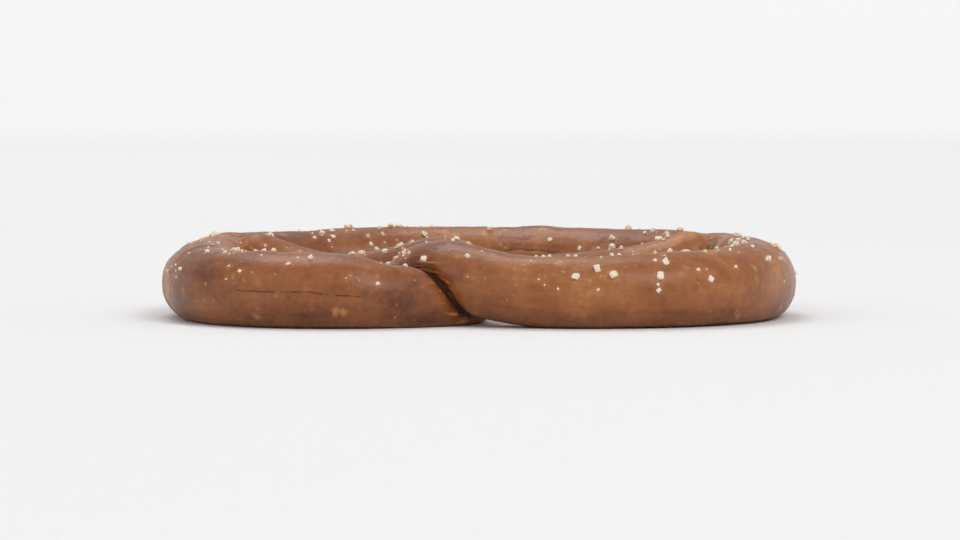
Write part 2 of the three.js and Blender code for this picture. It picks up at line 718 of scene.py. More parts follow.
@dataclass(frozen=True)
class CoarseSalt:
    """The salt's finish: clouded white crystals, a few of them stained by the crust.

    Soak is the light that sinks into a grain: how much does, how far in each colour, and in millimetres.
    """

    white: Colour = (0.85, 0.75, 0.61)
    cream: Colour = (0.73, 0.53, 0.34)
    cloud: Mottle = Mottle(0.45, 3.0, tone=0.50, gloss=0.25, height=0.10)
    frost: Mottle = Mottle(0.14, 1.0, height=0.03)
    stain_range: Range = (0.55, 1.0)
    stain: float = 0.75
    roughness: float = 0.32
    specular: float = 0.5
    soak: float = 0.35
    soak_reach: Triple = (1.0, 0.85, 0.65)
    soak_scale: float = 0.5

    def material(self) -> bpy.types.Material:
        """Makes the material.

        Returns:
            A material that reads the mesh's value "tone", one for each grain.
        """
        net = Net("coarse_salt")
        spot = net.millimetres()
        cloud = net.noise(spot, self.cloud)
        frost = net.noise(spot, self.frost)
        stained = net.kept("tone").eased(*self.stain_range) * self.stain
        stained = stained + (cloud - NOISE_MIDDLE) * self.cloud.tone
        height = net.weighed(((cloud, self.cloud.height), (frost, self.frost.height)))
        return net.finish(
            {
                "Base Color": net.blend(stained.eased(0.0, 1.0), self.white, self.cream),
                "Roughness": self.roughness + cloud * self.cloud.gloss,
                "Normal": net.raised(height),
                "Subsurface Weight": self.soak,
                "Subsurface Radius": self.soak_reach,
                "Subsurface Scale": self.soak_scale * MM,
                "Specular IOR Level": self.specular,
            }
        )


@dataclass(frozen=True)
class StudioPaper:
    """The floor's and wall's finish: seamless white paper."""

    white: Colour = (0.86, 0.86, 0.86)
    black: Colour = (0.0, 0.0, 0.0)
    glow: Colour = (0.30, 0.30, 0.30)
    floor_glow: float = 0.64
    glow_floor: Range = (250.0, 1800.0)
    glow_wall: Range = (1250.0, 2080.0)
    fibre: Mottle = Mottle(3.0, gloss=0.1)
    roughness: float = 0.85
    specular: float = 0.1

    def material(self) -> bpy.types.Material:
        """Makes the material. The paper glows away from the middle, as if lit from behind there.

        Returns:
            The material.
        """
        net = Net("studio_paper")
        spot = net.millimetres()
        away = net.node("ShaderNodeVectorMath", {"operation": "LENGTH"}, {0: spot}, output="Value")
        lit = away.eased(*self.glow_floor) * self.floor_glow
        lit = lit + away.eased(*self.glow_wall) * (1.0 - self.floor_glow)
        return net.finish(
            {
                "Base Color": (*self.white, 1.0),
                "Roughness": self.roughness + net.noise(spot, self.fibre) * self.fibre.gloss,
                "Specular IOR Level": self.specular,
                "Emission Color": net.blend(lit, self.black, self.glow),
                "Emission Strength": 1.0,
            }
        )


# ---------------------------------------------------------------- the rope of dough


class Strand(Enum):
    """The three stretches of the rope that lie across one another, from station to station."""

    LEFT_ARM = (0, 8)
    RING = (8, 24)
    RIGHT_ARM = (24, 32)


@dataclass(frozen=True)
class Station:
    """A listed point of the rope's middle line, on either side of the twist.

    Out and back are its place from the twist. Left and right are the height of its middle on each side,
    and where they are missing the rope rests on the tray.
    """

    out: float
    back: float
    radius: float
    left: float | None = None
    right: float | None = None


BELLY_TO_TIP = (
    Station(0.0, 57.2, 7.5),
    Station(16.0, 55.4, 7.5),
    Station(30.0, 48.8, 7.4),
    Station(40.4, 37.8, 7.3),
    Station(46.0, 24.0, 7.2),
    Station(46.6, 9.0, 7.1),
    Station(41.4, -4.8, 6.9),
    Station(31.0, -12.8, 6.7),
    Station(18.5, -15.0, 6.4),
    Station(8.0, -12.4, 5.9, 4.0, 6.6),
    Station(0.0, -7.0, 5.5, 3.0, 8.3),
    Station(-4.6, 1.0, 5.3, 6.0, 6.4),
    Station(0.0, 9.4, 5.3, 8.4, 3.4),
    Station(7.8, 16.6, 5.3, 7.0, 3.8),
    Station(17.2, 23.0, 5.4, 5.0, 4.5),
    Station(27.6, 27.0, 5.3, 5.8, 5.6),
    Station(36.8, 28.4, 5.0, 8.6, 8.6),
)
SHAPING_STATIONS = 4  # stations that shape the curve between two of them


@dataclass
class Sections:
    """Sections of the rope in order, left tip first, one row each.

    Forward, level and upright are directions, along is the distance from the left tip, lean is the angle
    that closes a nose, and bend is the change of heading for each millimetre.
    """

    centre: np.ndarray
    forward: np.ndarray
    level: np.ndarray
    upright: np.ndarray
    radius: np.ndarray
    along: np.ndarray
    lean: np.ndarray
    bend: np.ndarray

    @property
    def drawn_in(self) -> np.ndarray:
        """Gives each section's radius times the cosine of its lean, which closes the round noses."""
        return self.radius * np.cos(self.lean)


@dataclass
class Rope:
    """The rope's middle line and the sections along it.

    Reach is how much wider or narrower a lobe is than its stations say, seat is the height of a resting
    rope's middle as a share of its radius, and spacing is the distance between rows.
    """

    stations: tuple[Station, ...] = BELLY_TO_TIP
    left_reach: float = 0.88
    right_reach: float = 1.12
    seat: float = 0.82
    spacing: float = 0.47
    fine_steps: int = 3000
    nose_rows: int = 14
    nose_length: float = 1.12
    sway: Noise = Noise(3, 13.0, 0.22)
    bend_rows: int = 25
    cuts: dict[Strand, tuple[int, int]] = field(default_factory=dict)

    def controls(self) -> np.ndarray:
        """Lists the stations of the whole rope, with one more past each tip.

        That one continues the last step, so that the curve can start at the tip.

        Returns:
            x, y, height and radius for each station.
        """

        def row(station: Station, reach: float, height: float | None) -> tuple[float, ...]:
            """Gives one station's numbers on one side."""
            resting = self.seat * station.radius if height is None else height
            return (reach * station.out, station.back, resting, station.radius)

        left = [row(s, -self.left_reach, s.left) for s in reversed(self.stations)]
        right = [row(s, self.right_reach, s.right) for s in self.stations[1:]]
        rows = np.array(left + right)
        return np.vstack([2 * rows[0] - rows[1], rows, 2 * rows[-1] - rows[-2]])

    def curve(self, share: np.ndarray, slope: bool = False) -> np.ndarray:
        """Follows the stations with a Catmull-Rom curve.

        Between stations p1 and p2 the curve is the cubic whose slopes at them are half of p2 - p0 and
        half of p3 - p1.

        Args:
            share: places along the rope, counted in stations from the left tip.
            slope: whether the rate of change is wanted in place of the place.
        Returns:
            x, y, height and radius for each share.
        """
        rows = self.controls()
        first = np.clip(np.floor(share).astype(int), 0, len(rows) - SHAPING_STATIONS)
        w = (share - first)[:, None]
        p0, p1, p2, p3 = (rows[first + step] for step in range(SHAPING_STATIONS))
        start = 0.5 * (p2 - p0)
        end = 0.5 * (p3 - p1)
        square = 3 * (p2 - p1) - 2 * start - end
        cube = 2 * (p1 - p2) + start + end
        if slope:
            return start + 2 * square * w + 3 * cube * w**2
        return p1 + start * w + square * w**2 + cube * w**3

    def shares(self) -> np.ndarray:
        """Spaces the rows evenly along each strand and notes the rows where each one starts and ends.

        Returns:
            Each row's place along the rope, counted in stations from the left tip.
        """
        parts = []
        row = self.nose_rows
        for strand in Strand:
            fine = np.linspace(*strand.value, self.fine_steps)
            steps = np.linalg.norm(np.diff(self.curve(fine)[:, :3], axis=0), axis=1)
            run = np.concatenate([[0.0], steps.cumsum()])
            count = int(round(run[-1] / self.spacing))
            parts.append(np.interp(np.linspace(0.0, run[-1], count + 1)[:-1], run, fine))
            self.cuts[strand] = (row, row + count)
            row += count
        parts.append(np.array([float(Strand.RIGHT_ARM.value[1])]))
        return np.concatenate(parts)

    def sections(self) -> Sections:
        """Works out the sections.

        Level is the direction across the rope, flat, and upright is square to it and to the rope. The
        bend is the change of heading along the rope, averaged over neighbouring rows. Past each tip the
        rows repeat the last one, moved on by the sine of their lean and to be drawn in by its cosine,
        which makes a round nose.

        Returns:
            The sections.
        """
        share = self.shares()
        rows = self.curve(share)
        forward = self.curve(share, slope=True)[:, :3]
        forward /= np.linalg.norm(forward, axis=1)[:, None]
        level = np.stack([forward[:, 1], -forward[:, 0], np.zeros(len(rows))], -1)
        level /= np.linalg.norm(level, axis=1)[:, None]
        upright = np.cross(level, forward)
        steps = np.linalg.norm(np.diff(rows[:, :3], axis=0), axis=1)
        along = np.concatenate([[0.0], steps.cumsum()])
        heading = np.unwrap(np.arctan2(forward[:, 1], forward[:, 0]))
        window = np.hanning(self.bend_rows)
        spread = np.pad(np.gradient(heading, along), self.bend_rows // 2, mode="edge")
        bend = np.convolve(spread, window / window.sum(), mode="valid")
        centre = rows[:, :3] + level * self.sway.along(along)[:, None]

        lean = np.linspace(0.0, math.pi / 2, self.nose_rows + 2)[1:-1]
        turn = np.concatenate([-lean[::-1], np.zeros(len(rows)), lean])
        pick = np.clip(np.arange(-self.nose_rows, len(rows) + self.nose_rows), 0, len(rows) - 1)
        beyond = np.sin(turn) * self.nose_length * rows[pick, 3]
        return Sections(
            centre=centre[pick] + forward[pick] * beyond[:, None],
            forward=forward[pick],
            level=level[pick],
            upright=upright[pick],
            radius=rows[pick, 3],
            along=along[pick] + beyond,
            lean=turn,
            bend=bend[pick],
        )


@dataclass(frozen=True)
class Split:
    """A hairline split that runs along the rope, in millimetres and degrees round it."""

    start: float
    end: float
    angle: float
    width: float


@dataclass
class Splits:
    """The hairline splits of the crust, drawn at random along the rope.

    A split counts up to the zone's distance. Past it the distance to it is far and its width is missing.
    """

    seed: int = 512
    count: int = 11
    shortest: float = 5.0
    longer: float = 13.0
    length_skew: float = 1.5
    angles: Range = (-35.0, 215.0)
    narrowest: float = 0.05
    wider: float = 0.08
    wander: tuple[Noise, ...] = (Noise(41, 6.0, 0.55), Noise(42, 1.3, 0.12))
    lane: float = 10.0
    zone: float = 2.5
    far: float = 9.0
    missing: float = -1.0
    depth: float = 0.26
    reach: float = 0.55
    lip: float = 0.07
    fade: Range = (-0.9, 0.05)

    def scattered(self, length: float) -> tuple[Split, ...]:
        """Draws the places and sizes of the splits.

        Args:
            length: the rope's length.
        Returns:
            The splits, in order along the rope.
        """
        draw = np.random.default_rng(self.seed)
        starts = (np.arange(self.count) + draw.random(self.count)) * length / self.count
        spans = self.shortest + self.longer * draw.random(self.count) ** self.length_skew
        angles = draw.uniform(*self.angles, self.count)
        widths = self.narrowest + self.wider * draw.random(self.count)
        return tuple(Split(*row) for row in zip(starts, starts + spans, angles, widths))

    def beside(
        self, length: float, along: np.ndarray, angle: np.ndarray, radius: np.ndarray
    ) -> tuple[np.ndarray, np.ndarray]:
        """Works out where each point lies beside its nearest split.

        A split's line keeps its angle round the rope but for slow noises, and its half-width is the
        widest times the root of 4u(1 - u), where u is the share of its length. Past its ends, and far
        from every split, the half-width is below zero.

        Args:
            length: the rope's length.
            along: distance along the rope.
            angle: angle round it, in radians.
            radius: distance from the rope's middle.
        Returns:
            The distance to the split's line, with its sign, and the split's half-width there.
        """
        side = np.full(len(along), self.far)
        width = np.full(len(along), self.missing)
        nearest = np.full(len(along), np.inf)
        for number, split in enumerate(self.scattered(length)):
            share = (along - split.start) / (split.end - split.start)
            offset = np.angle(np.exp(1j * (angle - math.radians(split.angle)))) * radius
            for noise in self.wander:
                offset = offset + noise.along(along, self.lane * number)
            beyond = np.maximum(np.abs(share - 0.5) - 0.5, 0.0) * (split.end - split.start)
            apart = np.hypot(offset, beyond)
            closer = apart < nearest
            nearest = np.where(closer, apart, nearest)
            half = split.width * np.sqrt(np.clip(4.0 * share * (1.0 - share), 0.0, 1.0)) - beyond
            side = np.where(closer, offset, side)
            width = np.where(closer, half, width)
        return side, np.where(nearest < self.zone, width, self.missing)

    def relief(self, side: np.ndarray, width: np.ndarray) -> np.ndarray:
        """Works out the shallow creases of the splits.

        Across a split's line the height is -d e^(-(s/r)^2) + l e^(-((|s| - 2r)/r)^2), where s is the
        distance to the line, d the depth, r the reach and l the height of the lips beside it. It fades
        out past the split's ends.

        Args:
            side: each point's distance to the split's line.
            width: the split's half-width there.
        Returns:
            A height for each point.
        """
        dip = self.depth * hill(side, self.reach)
        lips = self.lip * hill(np.abs(side) - 2.0 * self.reach, self.reach)
        return (lips - dip) * eased(width, *self.fade)


@dataclass
class Bumps:
    """The blisters of the crust and the scars of lost salt, drawn at random over it."""

    seed: int = 2024
    blisters: int = 560
    scars: int = 60
    reaches: Range = (0.40, 1.10)
    reach_skew: float = 2.2
    rise: float = 0.14
    rises: Range = (0.6, 1.4)
    scar_rise: float = -1.3
    crowd: Noise = Noise(21, 9.0)
    crowd_range: Range = (-0.1, 0.6)
    stray: float = 0.25
    chosen: np.ndarray | None = None
    reach: np.ndarray | None = None
    height: np.ndarray | None = None
    middles: np.ndarray | None = None

    def scatter(self, points: np.ndarray, cover: np.ndarray) -> np.ndarray:
        """Scatters the bumps over the skin. They gather where a slow noise is high.

        Args:
            points: the skin's points, in order.
            cover: how much of the skin each point stands for.
        Returns:
            A height for each point, below zero in a scar.
        """
        draw = np.random.default_rng(self.seed)
        likely = cover * (self.stray + eased(self.crowd.at(points), *self.crowd_range))
        count = self.blisters + self.scars
        self.chosen = draw.choice(len(points), count, replace=False, p=likely / likely.sum())
        self.reach = between(self.reaches, draw.random(count) ** self.reach_skew)
        self.height = self.rise * self.reach * between(self.rises, draw.random(count))
        self.height[: self.scars] *= self.scar_rise
        dome, which = self.dome_at(points, points[self.chosen])
        return dome * self.height[which]

    def dome_at(self, points: np.ndarray, middles: np.ndarray) -> tuple[np.ndarray, np.ndarray]:
        """Gives how far up its nearest dome each point is, and which dome that is.

        A dome is (1 - (d/r)^2)^2 over the distance d from its middle, so it runs from 0 to 1.

        Args:
            points: places, three numbers each.
            middles: the middles of the domes.
        Returns:
            A number for each point, and the dome's place in the list.
        """
        gap, which = nearest_ball(points, middles, self.reach)
        share = np.clip((gap + self.reach[which]) / self.reach[which], 0.0, 1.0)
        return (1.0 - share**2) ** 2, which

    def signed_at(self, points: np.ndarray) -> np.ndarray:
        """Gives how far up its nearest dome each point is, below zero in a scar."""
        dome, which = self.dome_at(points, self.middles)
        return dome * np.sign(self.height)[which]


@dataclass
class Dough:
    """The baked rope: its surface over (row along the rope, angle round it), joined into one skin.

    A range says where a thing shows: not at all at its first number, and fully at its second. A gap is
    the distance to another strand.
    """

    rope: Rope = field(default_factory=Rope)
    splits: Splits = field(default_factory=Splits)
    bumps: Bumps = field(default_factory=Bumps)
    finish: LyeCrust = field(default_factory=LyeCrust)
    sides: int = 88
    nose_fullness: float = 0.9
    tray_round: float = 1.1

    thickness: tuple[Noise, ...] = (Noise(11, 27.0, 0.16), Noise(12, 10.0, 0.10))
    uneven: tuple[Noise, ...] = (Noise(13, 8.5, 0.17), Noise(14, 3.6, 0.07), Noise(15, 1.8, 0.035))
    dents: Noise = Noise(16, 6.0)
    dent_depth: float = 0.20
    dent_range: Range = (0.35, 0.85)
    folds: Noise = Noise(17, (1.5, 5.0, 5.0), 0.16)
    stretch: Noise = Noise(18, (8.0, 1.2, 1.2), 0.09)
    sharp_bend: Range = (0.012, 0.06)
    inside_range: Range = (0.1, 0.9)
    outside_range: Range = (0.0, 0.8)

    far_strand: float = 18.0
    groove_depth: float = 0.75
    groove_width: float = 0.75
    tip_press: float = 0.75
    tip_fade: Range = (15.0, 6.0)
    pillow: float = 0.22
    pillow_gap: float = 2.2
    pillow_width: float = 1.3
    bare_gap: Range = (0.3, 1.2)
    weld: float = 0.00001
    inner_reach: float = 0.01

    gap_margin: float = 0.5
    tip_margin: float = 0.4
    gap_limit: float = 8.0
    under_range: Range = (0.45, 0.92)
    width_limit: float = 1.0

    sections: Sections | None = None
    middle: np.ndarray | None = None

    def angles(self) -> np.ndarray:
        """Gives the angles round the rope, from the level direction upwards."""
        return np.arange(self.sides) * (2.0 * math.pi / self.sides)

    def frame_of(self, rows: Sections) -> tuple[np.ndarray, np.ndarray, np.ndarray]:
        """Works out the plain round rope.

        A point is the row's centre plus the radius, times a power of the cosine of the row's lean, along
        the direction (level cos a + upright sin a). The outward direction leans towards the nose.

        Args:
            rows: the sections.
        Returns:
            The points, the outward directions, and the rope's own coordinates: distance along it, and
            the place across and above its middle.
        """
        angle = self.angles()
        across = np.cos(angle)[None, :, None]
        above = np.sin(angle)[None, :, None]
        ring = rows.level[:, None, :] * across + rows.upright[:, None, :] * above
        drawn_in = (rows.radius * np.cos(rows.lean) ** self.nose_fullness)[:, None, None]
        points = rows.centre[:, None, :] + ring * drawn_in
        lean = rows.lean[:, None, None]
        outward = ring * np.cos(lean) + rows.forward[:, None, :] * np.sin(lean)
        sideways = drawn_in[..., 0] * across[..., 0]
        height = drawn_in[..., 0] * above[..., 0]
        flat = np.stack(np.broadcast_arrays(rows.along[:, None], sideways, height), -1)
        return points, outward, flat

    def swelling(self, rows: Sections, flat: np.ndarray) -> np.ndarray:
        """Works out how far the skin stands out from the plain rope, away from other strands.

        It is a sum of smooth noises: slow changes of thickness, hand-rolled unevenness, dents, wrinkles
        across the inside of a bend and stretch lines along its outside.

        Args:
            rows: the sections.
            flat: the rope's own coordinates.
        Returns:
            A height for each point.
        """
        thick = sum(noise.along(rows.along) for noise in self.thickness)
        uneven = sum(noise.at(flat) for noise in self.uneven)
        dents = -self.dent_depth * eased(self.dents.at(flat), *self.dent_range)
        side = np.cos(self.angles())[None, :] * np.sign(rows.bend)[:, None]
        sharp = eased(np.abs(rows.bend), *self.sharp_bend)[:, None]
        folds = sharp * eased(-side, *self.inside_range) * self.folds.at(flat)
        stretch = sharp * eased(side, *self.outside_range) * self.stretch.at(flat)
        return thick[:, None] + uneven + dents + folds + stretch

    def near_tip(self, rows: Sections, along: np.ndarray, other: np.ndarray) -> np.ndarray:
        """Tells where points, or the rows of the other strand beside them, are at a tip.

        Args:
            rows: the sections.
            along: each point's distance along the rope.
            other: the row of the other strand beside each point.
        Returns:
            1 at a tip and 0 far from both.
        """
        ends = rows.along[[0, -1]]
        own = np.abs(along[:, None] - ends).min(-1)
        beside = np.abs(rows.along[other][:, None] - ends).min(-1)
        return eased(np.minimum(own, beside), *self.tip_fade)

    def settled(self, points: np.ndarray) -> np.ndarray:
        """Flattens the underside on the tray.

        A height z below -k becomes 0, one above k stays, and between them it is (z + k)^2 / 4k, where k
        is the rounding at the edge of the flat.

        Args:
            points: places, three numbers each.
        Returns:
            The same points, settled.
        """
        height = points[..., 2]
        k = self.tray_round
        bent = (np.clip(height, -k, k) + k) ** 2 / (4.0 * k)
        points[..., 2] = np.where(height > k, height, bent)
        return points

    def pressed(
        self, rows: Sections, points: np.ndarray, own: np.ndarray
    ) -> tuple[np.ndarray, np.ndarray]:
        """Works out how the skin gives way beside another strand.

        It sinks by d e^(-g/w), where g is the gap to the other strand, and less so at a tip, and it
        swells into a low pillow a little farther out.

        Args:
            rows: the sections.
            points: the skin's points, in order.
            own: each point's distance along the rope.
        Returns:
            A height and a gap for each point.
        """
        gap, other = nearest_ball(points, rows.centre, rows.drawn_in, (own, rows.along, self.far_strand))
        gap = np.maximum(gap, 0.0)
        depth = self.groove_depth * (1.0 - self.tip_press * self.near_tip(rows, own, other))
        groove = -depth * np.exp(-gap / self.groove_width)
        return groove + self.pillow * hill(gap - self.pillow_gap, self.pillow_width), gap

    def skin(self) -> tuple[np.ndarray, np.ndarray]:
        """Works out the skin over the whole rope.

        Returns:
            The skin's points, as an array of rows and angles, and the two poles at the tips.
        """
        rows = self.rope.sections()
        self.sections = rows
        points, outward, flat = self.frame_of(rows)
        shape = points.shape
        low, high = points.reshape(-1, 3).min(0), points.reshape(-1, 3).max(0)
        self.middle = np.array([(low[0] + high[0]) / 2, (low[1] + high[1]) / 2, 0.0])

        own = np.repeat(rows.along, self.sides)
        around = np.tile(self.angles(), len(rows.along))
        radius = np.repeat(rows.radius, self.sides)
        creases = self.splits.relief(*self.splits.beside(rows.along[-1], own, around, radius))
        swelling = self.swelling(rows, flat) + creases.reshape(shape[:2])
        points = points + outward * swelling[..., None]
        listed = points.reshape(-1, 3)
        pressed, gap = self.pressed(rows, listed, own)
        domes = self.bumps.scatter(listed, np.repeat(rows.drawn_in, self.sides))
        domes = domes * eased(gap, *self.bare_gap)
        points = points + outward * (pressed + domes).reshape(shape[:2])[..., None]

        reach = self.rope.nose_length * rows.radius[[0, -1], None] * np.array([[-1.0], [1.0]])
        tips = rows.centre[[self.rope.nose_rows, -1 - self.rope.nose_rows]]
        poles = tips + rows.forward[[0, -1]] * reach
        points = self.settled(points) - self.middle
        self.bumps.middles = points.reshape(-1, 3)[self.bumps.chosen]
        return points, self.settled(poles) - self.middle

    def strand_mesh(self, strand: Strand, skin: np.ndarray, poles: np.ndarray) -> bpy.types.Mesh:
        """Makes a closed tube of one strand, with a fan of triangles to a point at each end.

        Args:
            strand: which strand.
            skin: the whole rope's points, as an array of rows and angles.
            poles: the two poles at the tips.
        Returns:
            The strand's mesh.
        """
        start, end = self.rope.cuts[strand]
        start = 0 if strand is Strand.LEFT_ARM else start
        end = len(skin) - 1 if strand is Strand.RIGHT_ARM else end
        part = skin[start : end + 1]
        first = poles[0] if strand is Strand.LEFT_ARM else part[0].mean(0)
        last = poles[1] if strand is Strand.RIGHT_ARM else part[-1].mean(0)
        points = np.vstack([part.reshape(-1, 3), first, last])
        side = np.arange(self.sides)
        beside = (side + 1) % self.sides
        top = (len(part) - 1) * self.sides
        faces = tube_walls(len(part), self.sides)
        faces += fan(side, beside, len(points) - 2)
        faces += fan(top + beside, top + side, len(points) - 1)
        return make_mesh(strand.name.lower(), points, faces)

    def joined(self) -> bpy.types.Mesh:
        """Joins the three strands into one closed skin.

        Returns:
            The skin's mesh.
        """
        skin, poles = self.skin()
        strands = {s: place(s.name.lower(), self.strand_mesh(s, skin, poles)) for s in Strand}
        whole = strands[Strand.RING]
        for arm in (Strand.LEFT_ARM, Strand.RIGHT_ARM):
            union = whole.modifiers.new(arm.name.lower(), "BOOLEAN")
            union.operation = "UNION"
            union.solver = "MANIFOLD"
            union.object = strands[arm]
        shown = whole.evaluated_get(bpy.context.evaluated_depsgraph_get())
        mesh = bpy.data.meshes.new_from_object(shown)
        mesh.name = "pretzel_crust"
        for strand in strands.values():
            bpy.data.objects.remove(strand)
        meetings = [self.rope.cuts[strand][1] for strand in (Strand.LEFT_ARM, Strand.RING)]
        self.clear_inside(mesh, skin[meetings].mean(1))
        return mesh

    def clear_inside(self, mesh: bpy.types.Mesh, middles: np.ndarray) -> None:
        """Removes what the union leaves inside the rope where two strands meet end to end.

        Points in one place become one, and the middle point of each meeting goes, with its faces.

        Args:
            mesh: the joined skin.
            middles: the middle points of the two meetings.
        """
        shell = bmesh.new()
        shell.from_mesh(mesh)
        bmesh.ops.remove_doubles(shell, verts=shell.verts, dist=self.weld * MM)
        shell.to_mesh(mesh)
        gap, _ = nearest_ball(points_of(mesh), middles, np.zeros(len(middles)))
        shell.verts.ensure_lookup_table()
        inner = [shell.verts[number] for number in np.flatnonzero(gap < self.inner_reach)]
        bmesh.ops.delete(shell, geom=inner, context="VERTS")
        shell.to_mesh(mesh)
        shell.free()

    def note_values(self, mesh: bpy.types.Mesh) -> None:
        """Stores what the finish needs at each point.

        Each point belongs to the row whose section surface is nearest to it. The rope's own coordinates
        are the distance along the rope, and the place across and above that row's centre.

        Args:
            mesh: the joined skin.
        """
        rows = self.sections
        points = points_of(mesh) + self.middle
        _, row = nearest_ball(points, rows.centre, rows.drawn_in)
        apart = points - rows.centre[row]
        ahead = (apart * rows.forward[row]).sum(-1)
        along = rows.along[row] + ahead
        across = (apart * rows.level[row]).sum(-1)
        above = (apart * rows.upright[row]).sum(-1)
        barred = (along, rows.along, self.far_strand)
        gap, other = nearest_ball(points, rows.centre, rows.drawn_in, barred)
        gap = gap + self.gap_margin + self.tip_margin * self.near_tip(rows, along, other)
        around = np.arctan2(above, across)
        side, width = self.splits.beside(rows.along[-1], along, around, np.hypot(across, above))
        keep_values(mesh, "rope", np.stack([along, across, above], -1))
        keep_values(mesh, "gap", np.clip(gap, 0.0, self.gap_limit))
        keep_values(mesh, "under", eased(-normals_of(mesh)[:, 2], *self.under_range))
        keep_values(mesh, "split_side", np.clip(side, -self.splits.far, self.splits.far))
        keep_values(mesh, "split_width", np.clip(width, -self.width_limit, self.width_limit))
        keep_values(mesh, "dome", self.bumps.signed_at(points - self.middle))

    def build(self) -> bpy.types.Object:
        """Builds the crust, dresses it and puts it in the CAD node's place.

        Returns:
            The crust.
        """
        mesh = self.joined()
        self.note_values(mesh)
        mesh.shade_smooth()
        mesh.materials.clear()
        mesh.materials.append(self.finish.material())
        piece = place("pretzel_crust", mesh)
        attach(piece, "root")
        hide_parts("pretzel")
        return piece


# ---------------------------------------------------------------- salt


@dataclass
class Salt:
    """The salt: coarse crystals and crumbs pressed into the upper side of the crust, as one piece."""

    finish: CoarseSalt = field(default_factory=CoarseSalt)
    seat_seed: int = 77
    shape_seed: int = 99
    coarse: int = 215
    crumbs: int = 260
    coarse_size: Range = (0.26, 0.62)
    coarse_skew: float = 1.8
    crumb_size: Range = (0.09, 0.18)
    sunk: float = 0.38
    apart: float = 0.2
    corner: float = 0.62
    rough: float = 0.13
    side_range: Range = (0.65, 1.25)
    crowd: Noise = Noise(31, 14.0)
    crowd_range: Range = (-0.4, 0.5)
    stray: float = 0.30
    facing_range: Range = (-0.15, 0.85)
    bare_gap: Range = (0.6, 1.6)
    ring_width: float = 0.45

    def crystal(self) -> tuple[np.ndarray, list[list[int]]]:
        """Makes a block with cut corners and edges: 24 points and the triangles of the hull round them.

        The points are the three arrangements of (1, c, c) with every choice of signs, where c is the
        share of a side that stays flat.

        Returns:
            The points, and the point numbers of each triangle.
        """
        signs = np.array(list(itertools.product((-1.0, 1.0), repeat=3)))
        arrangements = np.where(np.eye(3, dtype=bool), 1.0, self.corner)
        points = (arrangements[:, None, :] * signs[None, :, :]).reshape(-1, 3)
        block = bpy.data.meshes.new("crystal")
        block.from_pydata(points, [], [])
        shell = bmesh.new()
        shell.from_mesh(block)
        bmesh.ops.convex_hull(shell, input=shell.verts)
        bmesh.ops.recalc_face_normals(shell, faces=shell.faces)
        shell.to_mesh(block)
        shell.free()
        faces = [list(face.vertices) for face in block.polygons]
        bpy.data.meshes.remove(block)
        return points, faces

    def seats(self, mesh: bpy.types.Mesh) -> tuple[np.ndarray, np.ndarray, np.ndarray]:
        """Chooses where the grains sit on the crust.

        A point of the crust is likelier the more it faces up and the higher a slow noise is there. A
        grain too near an earlier one is dropped.

        Args:
            mesh: the crust.
        Returns:
            The places, the outward directions and the sizes of the grains.
        """
        draw = np.random.default_rng(self.seat_seed)
        points = points_of(mesh)
        normals = normals_of(mesh)
        gap = np.empty(len(points))
        mesh.attributes["gap"].data.foreach_get("value", gap)
        crowd = self.stray + eased(self.crowd.at(points), *self.crowd_range)
        likely = crowd * eased(normals[:, 2], *self.facing_range) * eased(gap, *self.bare_gap)
        count = self.coarse + self.crumbs
        chosen = draw.choice(len(points), count, replace=False, p=likely / likely.sum())
        coarse = between(self.coarse_size, draw.random(self.coarse) ** self.coarse_skew)
        crumbs = between(self.crumb_size, draw.random(self.crumbs))
        sizes = np.concatenate([coarse, crumbs])
        spots = points[chosen]
        gaps = np.linalg.norm(spots[:, None] - spots[None], axis=-1) - sizes[:, None] - sizes[None]
        clash = np.tril(gaps < self.apart, -1).any(1)
        return spots[~clash], normals[chosen][~clash], sizes[~clash]

    def build(self, crust: bpy.types.Object) -> bpy.types.Object:
        """Builds the grains on the crust and dresses them.

        A grain is the crystal, its points moved a little at random, scaled by three random sides, turned
        at random, and set out along the crust's outward direction so that part of it is sunk.

        Args:
            crust: the crust, built.
        Returns:
            The grains, as one piece.
        """
        draw = np.random.default_rng(self.shape_seed)
        spots, outward, sizes = self.seats(crust.data)
        block, faces = self.crystal()
        count = len(spots)
        shapes = block[None] + draw.normal(0.0, self.rough, (count, len(block), 3))
        sides = sizes[:, None] * between(self.side_range, draw.random((count, 3)))
        shapes = shapes * sides[:, None, :]
        turns, _ = np.linalg.qr(draw.normal(size=(count, 3, 3)))
        turns *= np.sign(np.linalg.det(turns))[:, None, None]
        shapes = np.einsum("nij,nkj->nki", turns, shapes)
        depth = (shapes * outward[:, None, :]).sum(-1)
        thickness = depth.max(1) - depth.min(1)
        lift = -depth.min(1) - self.sunk * thickness
        shapes += spots[:, None, :] + outward[:, None, :] * lift[:, None, None]
        numbers = np.array(faces)[None] + len(block) * np.arange(count)[:, None, None]
        mesh = make_mesh("salt_grains", shapes.reshape(-1, 3), numbers.reshape(-1, 3).tolist())
        keep_values(mesh, "tone", np.repeat(draw.random(count), len(block)))
        mesh.materials.append(self.finish.material())
        piece = place("salt_grains", mesh)
        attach(piece, "root")
        self.mark_crust(crust.data, spots, sizes)
        return piece

    def mark_crust(self, mesh: bpy.types.Mesh, spots: np.ndarray, sizes: np.ndarray) -> None:
        """Stores on the crust how near each point is to a grain, for the light ring round it."""
        gap, _ = nearest_ball(points_of(mesh), spots, sizes)
        keep_values(mesh, "salted", hill(np.maximum(gap, 0.0), self.ring_width))


# ---------------------------------------------------------------- the studio


